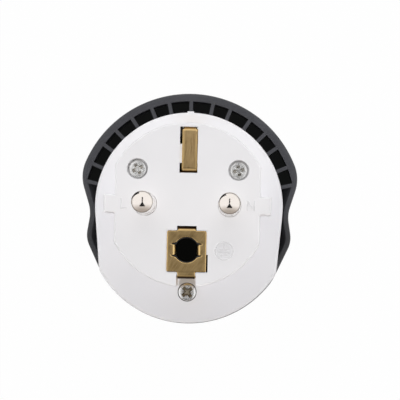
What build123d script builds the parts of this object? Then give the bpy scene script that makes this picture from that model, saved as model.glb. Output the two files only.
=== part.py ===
from build123d import *
from math import atan2, cos, degrees, radians, sin, sqrt
import os

os.makedirs("parts", exist_ok=True)

# Earthed plug adapter: round pins point up (+Z), the socket face lies on z = 0.
# The plug axis is the Z axis, and the earth hole is on the -Y side of the pins.

# Main lengths along the plug axis
sleeve_depth = 28.5
flange_thickness = 4.5
nose_height = 17.5
pin_length = 19.0
cover_thickness = 3.0

# Clearances
fit_gap = 0.2
pin_gap = 0.05
thread_gap = 0.05
seat_gap = 0.05

# Plug nose
nose_diameter = 37.1
nose_across_flats = 32.8
nose_edge_radius = 0.4
nose_wall = 2.6
face_wall = 2.2
lug_span = 37.7
lug_width = 4.0

# Skirt of the plug half, a round drawn out towards the chin
skirt_stretch = 1.0
skirt_wall = 2.0

# Flange over the skirt
flange_overhang = 1.2
flange_side_taper = 5.0
flange_edge_radius = 0.6
flange_wall = 2.5
chin_swell = 1.95
chin_drop = 3.3
chin_corner_radius = 4.0
nub_width = 1.5
nub_height = 0.3

# Grip sleeve
sleeve_chin_margin = 0.25
pocket_inset = 0.2
pocket_width = 2.76
pocket_depth = 7.0
rim_wall = 1.8
rib_thickness = 0.85
rib_angles = (12.0, 22.0, 34.0, 45.0, 55.0, 67.0, 77.0)
side_rim = 1.15
side_groove_taper = 20.0
side_groove_end = 132.0
shoulder_angle = 75.0
shoulder_bend = 9.0
waist_angle = 93.5
waist_wall = 1.3
waist_bend = 8.0
bump_angle = 107.8
bump_height = 2.2
bump_bend = 6.0
heel_half_angle = 56.0
heel_bend = 12.0
sleeve_front_radius = 0.8
sleeve_rear_chamfer = 0.7

# Pins
pin_diameter = 4.8
pin_dome_radius = 3.35
pin_tip_edge = 0.1
pin_spacing = 19.0
pin_shoulder_diameter = 5.2
pin_collar_diameter = 7.0
pin_collar_thickness = 2.0
pin_shank_diameter = 4.0
pin_tail_diameter = 3.0
pin_tail_head_diameter = 4.4
pin_tail_head_height = 0.9
pin_carrier_thickness = 3.0
pin_carrier_width = 8.4
pin_carrier_end_radius = 2.0
washer_diameter = 6.0
washer_thickness = 0.8

# Socket side
cover_lip = 1.0
cover_edge = 0.4
carrier_height = 24.0
carrier_floor = 2.0
carrier_rim = 0.8
chamber_wall = 1.4
bridge_length = 5.7
stop_diameter = 4.0
stop_inset = 0.9
stop_offset = 2.0
aperture_line = -8.5
flat_pin_spacing = 22.2
flat_pin_rise = 22.2
flat_slot_length = 7.2
flat_slot_width = 5.2
blade_spacing = 12.7
blade_slot_length = 7.6
blade_slot_width = 2.2
earth_slot_width = 4.8
earth_slot_length = 17.0
earth_slot_top = 4.3
slot_corner_radius = 0.6

# Contact strips
contact_sheet = 0.6
contact_bend = 0.8
leaf_offset = 2.9
leaf_bow = 0.7
leaf_flare = 0.3
leaf_tip_level = 7.0
leaf_bow_level = 11.5
leaf_straight_level = 16.5
leaf_inner_edge = 5.2
leaf_outer_edge = 14.4
chamber_gap = 0.6
web_height = 6.0
strap_width = 6.6
tab_overhang = 2.8
earth_leaf_start = 1.2
earth_leaf_end = 17.6
earth_leaf_split = 2.0
earth_leaf_split_place = 7.2
earth_base_reach = 4.8

# Earth clips
clip_sheet = 0.7
clip_bend = 0.75
clip_sink = 0.1
clip_foot = 4.6
clip_pocket_depth = 1.5
upper_clip_width = 3.5
upper_clip_shift = 0.3
upper_window_width = 4.05
upper_window_shift = 0.08
clip_well_depth = 8.0
clip_bridge_start = 9.4
clip_bridge_end = 13.7
upper_clip_start = 7.35
upper_clip_inset = 1.05
lower_tab_width = 4.0
lower_clip_start = 5.0
lower_clip_inset = 1.85
earth_plate_width = 8.9
earth_plate_top = 5.9
earth_plate_bottom = 15.2
earth_hole_offset = 10.2
earth_hole_diameter = 5.7
earth_well_diameter = 5.4
earth_well_depth = 15.5
earth_well_wall = 1.4
groove_backing = 1.0
lip_gap = 5.0
lip_height = 2.6
lip_depth = 1.5
lip_slit = 0.4
plate_slot_width = 0.35
plate_slot_length = 4.0

# Fasteners
screw_diameter = 3.0
screw_head_diameter = 4.2
screw_head_height = 1.8
screw_recess_width = 0.8
screw_recess_length = 2.6
screw_recess_depth = 1.0
face_screw_inset = 4.68
face_screw_angle = 55.3
face_screw_sink = 1.3
face_screw_length = 25.0
face_counterbore_diameter = 4.35
face_bore_mouth = 4.75
face_post_diameter = 6.4
chin_post_gap = 0.33
chin_screw_sink = 0.1
chin_screw_length = 16.0
chin_counterbore_diameter = 4.4
chin_post_diameter = 5.4
chin_boss_length = 6.5
screw_tip_room = 1.0
rivet_diameter = 2.0
rivet_head_diameter = 3.4
rivet_head_height = 0.6
rivet_pocket_room = 0.4

# Levels worked out from the lengths above
flange_front = sleeve_depth + flange_thickness
flange_ceiling = flange_front - flange_wall
face_level = flange_front + nose_height
face_ceiling = face_level - face_wall
tip_level = face_level + pin_length
collar_level = face_ceiling - pin_collar_thickness
tab_level = collar_level - pin_carrier_thickness
washer_level = tab_level - contact_sheet
tail_level = washer_level - washer_thickness
carrier_top = cover_thickness + carrier_height
earth_base_top = carrier_top + contact_sheet
chin_post_top = flange_ceiling - chin_boss_length

# Chambers around the contacts
chamber_half = leaf_offset + leaf_flare + contact_sheet / 2 + chamber_gap
chamber_start = leaf_inner_edge - chamber_gap
chamber_end = leaf_outer_edge + contact_sheet + chamber_gap
earth_chamber_start = earth_leaf_start - chamber_gap
earth_slot_end = aperture_line + flat_pin_rise + earth_slot_top

# The skirt is as wide as the chambers or the screw posts need, and the shells outside it follow
skirt_drop = chin_drop + skirt_stretch
face_screw_radius = nose_diameter / 2 - face_screw_inset
chamber_corner = Vector(chamber_end, aperture_line - chamber_half + skirt_drop)
chamber_reach = chamber_corner.length + carrier_rim + fit_gap
post_reach = face_screw_radius + face_post_diameter / 2 + fit_gap
skirt_radius = max(chamber_reach, post_reach) + skirt_wall
flange_radius = skirt_radius + flange_overhang
chin_radius = flange_radius + chin_swell
heel_radius = chin_radius + sleeve_chin_margin
pocket_inner = flange_radius + pocket_inset
pocket_outer = pocket_inner + pocket_width
sleeve_radius = pocket_outer + rim_wall
waist_radius = skirt_radius + cover_lip + fit_gap + waist_wall
bump_radius = waist_radius + bump_height
carrier_margin = -skirt_wall - fit_gap

# Places of the fasteners, pins and clips
chin_screw_place = -(skirt_radius + skirt_drop - skirt_wall - chin_post_gap - chin_post_diameter / 2)
stop_reach = skirt_radius + carrier_margin - stop_inset - stop_diameter / 2
pin_places = [(side * pin_spacing / 2, 0) for side in (-1, 1)]
stop_places = [(side * stop_reach, stop_offset) for side in (-1, 1)]
upper_clip_end = nose_diameter / 2 - upper_clip_inset
lower_clip_end = nose_diameter / 2 - lower_clip_inset
upper_rivet_place = upper_clip_start + clip_sheet + clip_foot / 2
lower_rivet_place = -lower_clip_start + clip_foot / 2
clip_level = face_level - clip_sink


def from_top(radius, angle):
    return (radius * sin(radians(angle)), radius * cos(radians(angle)))


face_screw_places = [from_top(face_screw_radius, side * face_screw_angle) for side in (-1, 1)]


def corner_pair(outline, corner):
    mirrored = Vector(-corner.X, corner.Y)
    return [outline.vertices().sort_by_distance(place)[0] for place in (corner, mirrored)]


def skirt_outline(margin, level):
    with BuildSketch(Plane.XY.offset(level)) as outline:
        with Locations((0, 0), (0, -skirt_drop)):
            Circle(skirt_radius + margin)
        make_hull()
    return outline.sketch


def nose_outline(margin, level):
    with BuildSketch(Plane.XY.offset(level)) as outline:
        Circle(nose_diameter / 2 + margin)
        Rectangle(nose_across_flats + 2 * margin, nose_diameter, mode=Mode.INTERSECT)
    return outline.sketch


def flange_outline(level):
    # The tapered sides leave the upper round on a tangent and run down to the chin round
    taper = radians(flange_side_taper)
    side = Vector(flange_radius * cos(taper), -flange_radius * sin(taper))
    heading = Vector(-sin(taper), -cos(taper))
    from_chin = side + Vector(0, chin_drop)
    along = from_chin.dot(heading)
    run = -along + sqrt(along**2 - from_chin.dot(from_chin) + chin_radius**2)
    corner = side + heading * run
    chin_sweep = 90 + degrees(atan2(corner.Y + chin_drop, corner.X))
    with BuildSketch(Plane.XY.offset(level)) as outline:
        with BuildLine():
            CenterArc((0, 0), flange_radius, -flange_side_taper, 90 + flange_side_taper)
            Line(side, corner)
            CenterArc((0, -chin_drop), chin_radius, -90, chin_sweep)
            mirror(about=Plane.YZ)
        make_face()
        fillet(corner_pair(outline, corner), chin_corner_radius)
    return outline.sketch


def sleeve_outline(level):
    # Round top, a waist for the finger, a lower bump, then the round that follows the chin
    shoulder = Vector(from_top(sleeve_radius, shoulder_angle))
    waist = Vector(from_top(waist_radius, waist_angle))
    bump = Vector(from_top(bump_radius, bump_angle))
    with BuildSketch(Plane.XY.offset(level)) as outline:
        with BuildLine():
            CenterArc((0, 0), sleeve_radius, 90 - shoulder_angle, shoulder_angle)
            heel = CenterArc((0, -chin_drop), heel_radius, -90, heel_half_angle)
            Polyline(shoulder, waist, bump, heel @ 1)
            mirror(about=Plane.YZ)
        make_face()
        bends = ((shoulder, shoulder_bend), (waist, waist_bend), (bump, bump_bend), (heel @ 1, heel_bend))
        for corner, bend in bends:
            fillet(corner_pair(outline, corner), bend)
    return outline.sketch


def side_grooves(start, end):
    # Sloped inside of the rim, kept between two angles from the top on each side
    wedge_reach = 2 * sleeve_radius
    with BuildPart() as grooves:
        with BuildSketch(Plane.XY.offset(sleeve_depth)):
            add(sleeve_outline(0))
            offset(amount=-side_rim, mode=Mode.REPLACE)
        extrude(amount=-pocket_depth, taper=side_groove_taper)
        with BuildSketch(Plane.XY.offset(sleeve_depth)):
            for side in (-1, 1):
                edges = [from_top(wedge_reach, side * angle) for angle in (start, end)]
                Polygon((0, 0), *edges, align=None)
        extrude(amount=-pocket_depth, mode=Mode.INTERSECT)
    return grooves.part


def strip_profile(plane, points, thickness, bend):
    with BuildSketch(plane) as profile:
        with BuildLine():
            FilletPolyline(*points, radius=bend)
        trace(line_width=thickness)
    return profile.sketch


# Plug half: flange, skirt and nose in one moulding
with BuildPart() as plug_housing:
    extrude(flange_outline(sleeve_depth), amount=flange_thickness)
    fillet(plug_housing.edges().group_by(Axis.Z)[-1], flange_edge_radius)
    with BuildSketch(Plane.XY.offset(sleeve_depth)):
        with Locations((0, flange_radius)):
            Rectangle(nub_width, 2 * nub_height)
    extrude(amount=flange_thickness - flange_edge_radius)
    extrude(skirt_outline(0, cover_thickness), amount=sleeve_depth - cover_thickness)

    with BuildSketch(Plane.XY.offset(face_level)):
        add(nose_outline(0, 0))
        Rectangle(lug_span, lug_width)
    extrude(amount=-nose_height)
    fillet(plug_housing.edges().group_by(Axis.Z)[-1], nose_edge_radius)

    # Hollow inside
    nose_hollow = face_ceiling - flange_ceiling
    extrude(nose_outline(-nose_wall, flange_ceiling), amount=nose_hollow, mode=Mode.SUBTRACT)
    skirt_hollow = flange_ceiling - cover_thickness
    extrude(skirt_outline(-skirt_wall, cover_thickness), amount=skirt_hollow, mode=Mode.SUBTRACT)

    # Screw bosses, and a thicker wall behind the groove of the lower earth clip
    groove_width = lower_tab_width + 2 * fit_gap
    lower_groove = lower_clip_end - clip_sheet - seat_gap
    with BuildSketch(Plane.XY.offset(flange_ceiling)):
        with Locations(*face_screw_places):
            Circle(face_post_diameter / 2)
        with Locations((0, -lower_groove)):
            Rectangle(groove_width + 2 * groove_backing, 2 * groove_backing)
    extrude(amount=nose_hollow)
    with BuildSketch(Plane.XY.offset(chin_post_top)):
        with Locations((0, chin_screw_place)):
            Circle(chin_post_diameter / 2)
    extrude(amount=chin_boss_length)

    # Pin holes
    with BuildSketch(Plane.XY.offset(face_ceiling)):
        with Locations(*pin_places):
            Circle(pin_shoulder_diameter / 2 + pin_gap)
    extrude(amount=face_wall, mode=Mode.SUBTRACT)

    # Window of the upper earth clip, with a bridge under the strip and a deep well for its tail
    window_start = upper_clip_start - fit_gap
    window_end = upper_clip_end + seat_gap
    with BuildSketch(Plane.XY.offset(face_level)):
        with Locations((upper_window_shift, (window_start + window_end) / 2)):
            Rectangle(upper_window_width, window_end - window_start)
    extrude(amount=-face_wall, mode=Mode.SUBTRACT)
    with BuildSketch(Plane.XY.offset(face_ceiling)):
        with Locations((upper_window_shift, (clip_bridge_start + clip_bridge_end) / 2)):
            Rectangle(upper_window_width, clip_bridge_end - clip_bridge_start)
    extrude(amount=clip_level - clip_sheet - seat_gap - face_ceiling)
    with BuildSketch(Plane.XY.offset(face_level)):
        with Locations((upper_window_shift, (clip_bridge_end + window_end) / 2)):
            Rectangle(upper_window_width, window_end - clip_bridge_end)
    extrude(amount=-clip_well_depth, mode=Mode.SUBTRACT)

    # Side grooves that bare the tails: the upper one stops under the rim of the face
    nose_reach = nose_diameter
    with BuildSketch(Plane.XY.offset(flange_front)):
        with Locations((upper_clip_shift, upper_clip_end - clip_sheet - seat_gap)):
            upper_groove_width = upper_clip_width + 2 * seat_gap
            Rectangle(upper_groove_width, nose_reach, align=(Align.CENTER, Align.MIN))
    extrude(amount=face_ceiling - flange_front, mode=Mode.SUBTRACT)
    with BuildSketch(Plane.XY.offset(flange_front)):
        with Locations((0, -lower_groove)):
            Rectangle(groove_width, nose_reach, align=(Align.CENTER, Align.MAX))
    extrude(amount=nose_height, mode=Mode.SUBTRACT)

    # Seat, leg slot and hole of the lower earth clip, with a narrow slot beside the plate
    with BuildSketch(Plane.XY.offset(clip_level - clip_sheet)):
        with Locations((0, -(earth_plate_top + earth_plate_bottom) / 2)):
            plate_length = earth_plate_bottom - earth_plate_top
            Rectangle(earth_plate_width + 2 * fit_gap, plate_length + 2 * fit_gap)
        with Locations((0, -lower_clip_start + fit_gap)):
            Rectangle(groove_width, nose_reach, align=(Align.CENTER, Align.MAX))
    extrude(amount=clip_sheet + clip_sink, mode=Mode.SUBTRACT)
    with BuildSketch(Plane.XY.offset(clip_level - clip_sheet - clip_bend)):
        with Locations((0, -(lower_clip_end - clip_sheet - clip_bend))):
            Rectangle(groove_width, nose_reach, align=(Align.CENTER, Align.MAX))
        with Locations((0, -lower_clip_start - clip_sheet)):
            Rectangle(groove_width, 2 * clip_bend)
    extrude(amount=clip_sheet + clip_bend + clip_sink, mode=Mode.SUBTRACT)
    with BuildSketch(Plane.XY.offset(flange_ceiling)):
        with Locations((0, -lower_clip_start - clip_sheet / 2)):
            Rectangle(groove_width, clip_sheet + 2 * fit_gap)
    extrude(amount=face_level - flange_ceiling, mode=Mode.SUBTRACT)
    with BuildSketch(Plane.XY.offset(face_ceiling)):
        with Locations((0, -earth_hole_offset)):
            Circle(earth_hole_diameter / 2 + fit_gap)
            Rectangle(lip_gap + 2 * (clip_sheet + fit_gap), lip_height + 2 * (lip_slit + fit_gap))
        with Locations((earth_plate_width / 2, -earth_plate_bottom)):
            Rectangle(plate_slot_width, plate_slot_length, align=(Align.MIN, Align.MIN))
    extrude(amount=face_wall, mode=Mode.SUBTRACT)

    # Pockets in the flange that hold the ends of both clips
    with BuildSketch(Plane.XY.offset(flange_front - clip_pocket_depth)):
        with Locations((upper_clip_shift, upper_clip_end - clip_sheet / 2)):
            Rectangle(upper_clip_width + 2 * seat_gap, clip_sheet + 2 * seat_gap)
        with Locations((0, -lower_clip_end + clip_sheet / 2)):
            Rectangle(lower_tab_width + 2 * seat_gap, clip_sheet + 2 * seat_gap)
    extrude(amount=clip_pocket_depth, mode=Mode.SUBTRACT)

    # Screw holes
    for place in face_screw_places:
        with Locations((*place, face_level)):
            CounterBoreHole(
                radius=screw_diameter / 2 + fit_gap,
                counter_bore_radius=face_counterbore_diameter / 2,
                counter_bore_depth=face_screw_sink + screw_head_height,
                depth=face_level - flange_ceiling,
            )
    head_clearance = (face_bore_mouth - face_counterbore_diameter) / 2
    bore_taper = degrees(atan2(head_clearance, face_screw_sink))
    with BuildSketch(Plane.XY.offset(face_level)):
        with Locations(*face_screw_places):
            Circle(face_bore_mouth / 2)
    extrude(amount=-face_screw_sink, taper=bore_taper, mode=Mode.SUBTRACT)
    with Locations((0, chin_screw_place, flange_front)):
        CounterBoreHole(
            radius=screw_diameter / 2 + fit_gap,
            counter_bore_radius=chin_counterbore_diameter / 2,
            counter_bore_depth=chin_screw_sink + screw_head_height,
            depth=flange_wall + chin_boss_length,
        )
plug_housing.part.label = "plug_housing"
export_step(plug_housing.part, "parts/plug_housing.step")


# Grip sleeve: an open ring, trapped between the flange and the socket cover
with BuildPart() as grip_sleeve:
    extrude(sleeve_outline(0), amount=sleeve_depth)
    fillet(grip_sleeve.edges().group_by(Axis.Z)[-1], sleeve_front_radius)
    chamfer(grip_sleeve.edges().group_by(Axis.Z)[0], sleeve_rear_chamfer)
    extrude(skirt_outline(fit_gap, 0), amount=sleeve_depth, mode=Mode.SUBTRACT)
    extrude(skirt_outline(cover_lip + fit_gap, 0), amount=cover_thickness, mode=Mode.SUBTRACT)

    # Deep pockets between radial ribs over the top
    rib_turns = [0] + [side * angle for angle in rib_angles for side in (-1, 1)]
    rib_sweep = 2 * rib_angles[-1]
    rib_start = 90 - rib_angles[-1]
    pocket_middle = (pocket_inner + pocket_outer) / 2
    with BuildSketch(Plane.XY.offset(sleeve_depth)):
        with BuildLine():
            pocket_back = CenterArc((0, 0), pocket_outer, rib_start, rib_sweep)
            pocket_front = CenterArc((0, 0), pocket_inner, rib_start, rib_sweep)
            Line(pocket_back @ 0, pocket_front @ 0)
            Line(pocket_back @ 1, pocket_front @ 1)
        make_face()
        for turn in rib_turns:
            with Locations(from_top(pocket_middle, turn)):
                Rectangle(2 * pocket_width, rib_thickness, rotation=90 - turn, mode=Mode.SUBTRACT)
    extrude(amount=-pocket_depth, mode=Mode.SUBTRACT)

    # Past the last rib on each side only a thin rim stands round the flange, sloped on its inside
    groove_start = rib_angles[-1] + degrees(rib_thickness / 2 / pocket_middle)
    add(side_grooves(groove_start, side_groove_end), mode=Mode.SUBTRACT)
grip_sleeve.part.label = "grip_sleeve"
export_step(grip_sleeve.part, "parts/grip_sleeve.step")


# Socket cover: the rear face with its apertures, and the posts that the screws bite into
with BuildPart() as socket_cover:
    extrude(skirt_outline(cover_lip, 0), amount=cover_thickness)
    with BuildSketch(Plane.XY):
        for side in (-1, 1):
            blade_place = side * blade_spacing / 2
            slot_end = side * (flat_pin_spacing + flat_slot_length) / 2
            with Locations(((blade_place + slot_end) / 2, aperture_line)):
                RectangleRounded(abs(slot_end - blade_place), flat_slot_width, slot_corner_radius)
            with Locations((blade_place, aperture_line)):
                RectangleRounded(blade_slot_width, blade_slot_length, slot_corner_radius)
        with Locations((0, earth_slot_end)):
            slot_align = (Align.CENTER, Align.MAX)
            RectangleRounded(earth_slot_width, earth_slot_length, slot_corner_radius, align=slot_align)
    extrude(amount=cover_thickness, mode=Mode.SUBTRACT)
    chamfer(socket_cover.faces().sort_by(Axis.Z)[0].edges(), cover_edge)

    with BuildSketch(Plane.XY.offset(cover_thickness)):
        with Locations(*face_screw_places):
            Circle(face_post_diameter / 2)
    extrude(amount=flange_ceiling - cover_thickness)
    with BuildSketch(Plane.XY.offset(cover_thickness)):
        with Locations((0, chin_screw_place)):
            Circle(chin_post_diameter / 2)
    extrude(amount=chin_post_top - cover_thickness)

    face_seat = face_level - face_screw_sink - screw_head_height
    face_bite = face_screw_length - (face_seat - flange_ceiling)
    chin_seat = flange_front - chin_screw_sink - screw_head_height
    chin_bite = chin_screw_length - (chin_seat - chin_post_top)
    for place in face_screw_places:
        with Locations((*place, flange_ceiling)):
            Hole(screw_diameter / 2 + thread_gap, face_bite + screw_tip_room)
    with Locations((0, chin_screw_place, chin_post_top)):
        Hole(screw_diameter / 2 + thread_gap, chin_bite + screw_tip_room)
socket_cover.part.label = "socket_cover"
export_step(socket_cover.part, "parts/socket_cover.step")


# Contact carrier: walls around a chamber for each contact, open to its aperture and to the nose
def chamber_outline(wall, level):
    with BuildSketch(Plane.XY.offset(level)) as outline:
        for side in (-1, 1):
            with Locations((side * (chamber_start + chamber_end) / 2, aperture_line)):
                Rectangle(chamber_end - chamber_start + 2 * wall, 2 * (chamber_half + wall))
        with Locations((0, earth_chamber_start - wall)):
            Rectangle(2 * (chamber_half + wall), 2 * skirt_radius, align=(Align.CENTER, Align.MIN))
    return outline.sketch


with BuildPart() as contact_carrier:
    extrude(skirt_outline(carrier_margin, cover_thickness), amount=carrier_floor)
    with BuildSketch(Plane.XY.offset(cover_thickness)):
        add(chamber_outline(chamber_wall, 0))
        with Locations((0, earth_chamber_start)):
            Rectangle(2 * chamber_start, bridge_length, align=(Align.CENTER, Align.MAX))
        add(skirt_outline(carrier_margin, 0), mode=Mode.INTERSECT)
    extrude(amount=carrier_height)
    with BuildSketch(Plane.XY.offset(cover_thickness)):
        with Locations(*stop_places):
            Circle(stop_diameter / 2)
    extrude(amount=flange_ceiling - cover_thickness)

    extrude(chamber_outline(0, cover_thickness), amount=carrier_height, mode=Mode.SUBTRACT)
    with BuildSketch(Plane.XY.offset(cover_thickness)):
        with Locations(*face_screw_places):
            Circle(face_post_diameter / 2 + fit_gap)
        with Locations((0, chin_screw_place + chin_post_diameter / 2 + fit_gap)):
            post_slot = chin_post_diameter + 2 * fit_gap
            Rectangle(post_slot, 2 * skirt_radius, align=(Align.CENTER, Align.MAX))
    extrude(amount=carrier_height, mode=Mode.SUBTRACT)
    with Locations((0, lower_rivet_place, carrier_top)):
        Hole(rivet_head_diameter / 2 + rivet_pocket_room, rivet_head_height + rivet_pocket_room)
contact_carrier.part.label = "contact_carrier"
export_step(contact_carrier.part, "parts/contact_carrier.step")


# Pins: a turned rod with a collar behind the face and a tail riveted under the contact strip
for pin_name, side in (("live_pin", -1), ("neutral_pin", 1)):
    pin_axis = Axis((side * pin_spacing / 2, 0, 0), (0, 0, 1))
    with BuildPart() as pin:
        with BuildSketch(Plane(origin=pin_axis.position, x_dir=(1, 0, 0), z_dir=(0, -1, 0))) as profile:
            with BuildLine():
                dome_height = pin_dome_radius - sqrt(pin_dome_radius**2 - (pin_diameter / 2) ** 2)
                dome_start = Vector(pin_diameter / 2, tip_level - dome_height)
                dome = RadiusArc(dome_start, (0, tip_level), -pin_dome_radius)
                Polyline(
                    dome @ 1,
                    (0, tail_level - pin_tail_head_height),
                    (pin_tail_head_diameter / 2, tail_level - pin_tail_head_height),
                    (pin_tail_head_diameter / 2, tail_level),
                    (pin_tail_diameter / 2, tail_level),
                    (pin_tail_diameter / 2, tab_level),
                    (pin_shank_diameter / 2, tab_level),
                    (pin_shank_diameter / 2, collar_level),
                    (pin_collar_diameter / 2, collar_level),
                    (pin_collar_diameter / 2, face_ceiling),
                    (pin_shoulder_diameter / 2, face_ceiling),
                    (pin_shoulder_diameter / 2, face_level),
                    (pin_diameter / 2, face_level),
                    dome @ 0,
                )
            make_face()
            fillet(profile.vertices().sort_by_distance(dome_start)[0], pin_tip_edge)
        revolve(axis=pin_axis)
    pin.part.label = pin_name
    export_step(pin.part, f"parts/{pin_name}.step")


# Pin carrier: an insulating bar between the collars and the contact strips, with the earth pin's well
with BuildPart() as pin_carrier:
    with BuildSketch(Plane.XY.offset(tab_level)):
        carrier_span = nose_across_flats - 2 * nose_wall - 2 * fit_gap
        RectangleRounded(carrier_span, pin_carrier_width, pin_carrier_end_radius)
        well_radius = earth_well_diameter / 2 + earth_well_wall
        web_start = groove_width / 2 + fit_gap
        for side in (-1, 1):
            with Locations((side * (web_start + well_radius) / 2, -earth_hole_offset / 2)):
                Rectangle(well_radius - web_start, earth_hole_offset)
    extrude(amount=pin_carrier_thickness)
    well_floor = face_level - earth_well_depth
    with BuildSketch(Plane.XY.offset(well_floor - earth_well_wall)):
        with Locations((0, -earth_hole_offset)):
            Circle(well_radius)
    extrude(amount=face_ceiling - seat_gap - well_floor + earth_well_wall)
    with BuildSketch(Plane.XY.offset(well_floor)):
        with Locations((0, -earth_hole_offset)):
            Circle(earth_well_diameter / 2)
    extrude(amount=earth_well_depth, mode=Mode.SUBTRACT)
    with BuildSketch(Plane.XY.offset(tab_level)):
        with Locations(*pin_places):
            Circle(pin_shank_diameter / 2 + pin_gap)
    extrude(amount=pin_carrier_thickness, mode=Mode.SUBTRACT)

    # Clear of the nose wall, the screw bosses and the thicker wall behind the clip's groove
    with BuildSketch(Plane.XY.offset(well_floor - earth_well_wall)):
        add(nose_outline(-nose_wall - fit_gap, 0))
        with Locations(*face_screw_places):
            Circle(face_post_diameter / 2 + fit_gap, mode=Mode.SUBTRACT)
        with Locations((0, -lower_groove)):
            backing_width = groove_width + 2 * (groove_backing + fit_gap)
            Rectangle(backing_width, 2 * (groove_backing + fit_gap), mode=Mode.SUBTRACT)
    extrude(amount=face_ceiling - well_floor + earth_well_wall, mode=Mode.INTERSECT)
pin_carrier.part.label = "pin_carrier"
export_step(pin_carrier.part, "parts/pin_carrier.step")


# Washers under the riveted tails
with BuildPart() as pin_washers:
    with BuildSketch(Plane.XY.offset(tail_level)):
        with Locations(*pin_places):
            Circle(washer_diameter / 2)
            Circle(pin_tail_diameter / 2 + pin_gap, mode=Mode.SUBTRACT)
    extrude(amount=washer_thickness)
pin_washers.part.label = "pin_washers"
export_step(pin_washers.part, "parts/pin_washers.step")


# Live and neutral contacts: a strap from the pin tail down to a pair of sprung leaves
for contact_name, side in (("live_contact", -1), ("neutral_contact", 1)):
    with BuildPart() as contact:
        upper_leaf = aperture_line + leaf_offset
        tab_line = tab_level - contact_sheet / 2
        leaf_top = carrier_top - contact_sheet
        strap_points = [(tab_overhang, tab_line), (upper_leaf, tab_line), (upper_leaf, leaf_straight_level)]
        strap_plane = Plane.YZ.offset(side * pin_spacing / 2)
        strap = strip_profile(strap_plane, strap_points, contact_sheet, contact_bend)
        extrude(strap, amount=strap_width / 2, both=True)

        for turn in (-1, 1):
            leaf_line = aperture_line + turn * leaf_offset
            leaf_points = [
                (leaf_line, leaf_top),
                (leaf_line, leaf_straight_level),
                (leaf_line - turn * leaf_bow, leaf_bow_level),
                (leaf_line + turn * leaf_flare, leaf_tip_level),
            ]
            leaf_plane = Plane.YZ.offset(side * (leaf_inner_edge + leaf_outer_edge) / 2)
            leaf = strip_profile(leaf_plane, leaf_points, contact_sheet, contact_bend)
            extrude(leaf, amount=(leaf_outer_edge - leaf_inner_edge) / 2, both=True)

        # Web that joins the leaves, folded at their outer edge above the reach of a plug's pin
        with BuildSketch(Plane.XY.offset(leaf_top - web_height)):
            with Locations((side * (leaf_outer_edge + contact_sheet / 2), aperture_line)):
                Rectangle(contact_sheet, 2 * leaf_offset + contact_sheet)
        extrude(amount=web_height)
        with BuildSketch(Plane.XY.offset(washer_level)):
            with Locations((side * pin_spacing / 2, 0)):
                Circle(pin_tail_diameter / 2 + pin_gap)
        extrude(amount=contact_sheet, mode=Mode.SUBTRACT)
    contact.part.label = contact_name
    export_step(contact.part, f"parts/{contact_name}.step")


# Earth contact: a fork that hangs in its chamber from a base strip on top of the carrier
with BuildPart() as earth_contact:
    base_line = carrier_top + contact_sheet / 2
    fork_points = [
        (leaf_offset + leaf_flare, leaf_tip_level),
        (leaf_offset - leaf_bow, leaf_bow_level),
        (leaf_offset, leaf_straight_level),
        (leaf_offset, base_line),
        (-leaf_offset, base_line),
        (-leaf_offset, leaf_straight_level),
        (-leaf_offset + leaf_bow, leaf_bow_level),
        (-leaf_offset - leaf_flare, leaf_tip_level),
    ]
    fork = strip_profile(Plane.XZ.offset(-earth_leaf_start), fork_points, contact_sheet, contact_bend)
    extrude(fork, amount=-(earth_leaf_end - earth_leaf_start))
    with BuildSketch(Plane.XY.offset(carrier_top)):
        with Locations((0, -earth_base_reach)):
            base_align = (Align.CENTER, Align.MIN)
            base_width = 2 * (leaf_offset - contact_bend)
            Rectangle(base_width, earth_base_reach + earth_leaf_start + fit_gap, align=base_align)
    extrude(amount=contact_sheet)
    with BuildSketch(Plane.XY.offset(leaf_tip_level - contact_sheet)):
        with Locations((0, earth_leaf_split_place)):
            Rectangle(2 * chamber_half, earth_leaf_split)
    extrude(amount=leaf_straight_level - leaf_tip_level, mode=Mode.SUBTRACT)
    with BuildSketch(Plane.XY.offset(carrier_top)):
        with Locations((0, upper_rivet_place), (0, lower_rivet_place)):
            Circle(rivet_diameter / 2 + seat_gap)
    extrude(amount=contact_sheet, mode=Mode.SUBTRACT)
earth_contact.part.label = "earth_contact"
export_step(earth_contact.part, "parts/earth_contact.step")


# Upper earth clip: foot on the earth contact, leg up to the face, strip over the edge of the nose
foot_line = earth_base_top + clip_sheet / 2
face_line = clip_level - clip_sheet / 2
tail_end = flange_front - clip_pocket_depth + seat_gap
with BuildPart() as upper_earth_clip:
    leg_line = upper_clip_start + clip_sheet / 2
    tail_line = upper_clip_end - clip_sheet / 2
    clip_points = [
        (leg_line + clip_foot, foot_line),
        (leg_line, foot_line),
        (leg_line, face_line),
        (tail_line, face_line),
        (tail_line, tail_end),
    ]
    clip = strip_profile(Plane.YZ.offset(upper_clip_shift), clip_points, clip_sheet, clip_bend)
    extrude(clip, amount=upper_clip_width / 2, both=True)
    with BuildSketch(Plane.XY.offset(earth_base_top)):
        with Locations((0, upper_rivet_place)):
            Circle(rivet_diameter / 2 + seat_gap)
    extrude(amount=clip_sheet, mode=Mode.SUBTRACT)
upper_earth_clip.part.label = "upper_earth_clip"
export_step(upper_earth_clip.part, "parts/upper_earth_clip.step")


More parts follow.
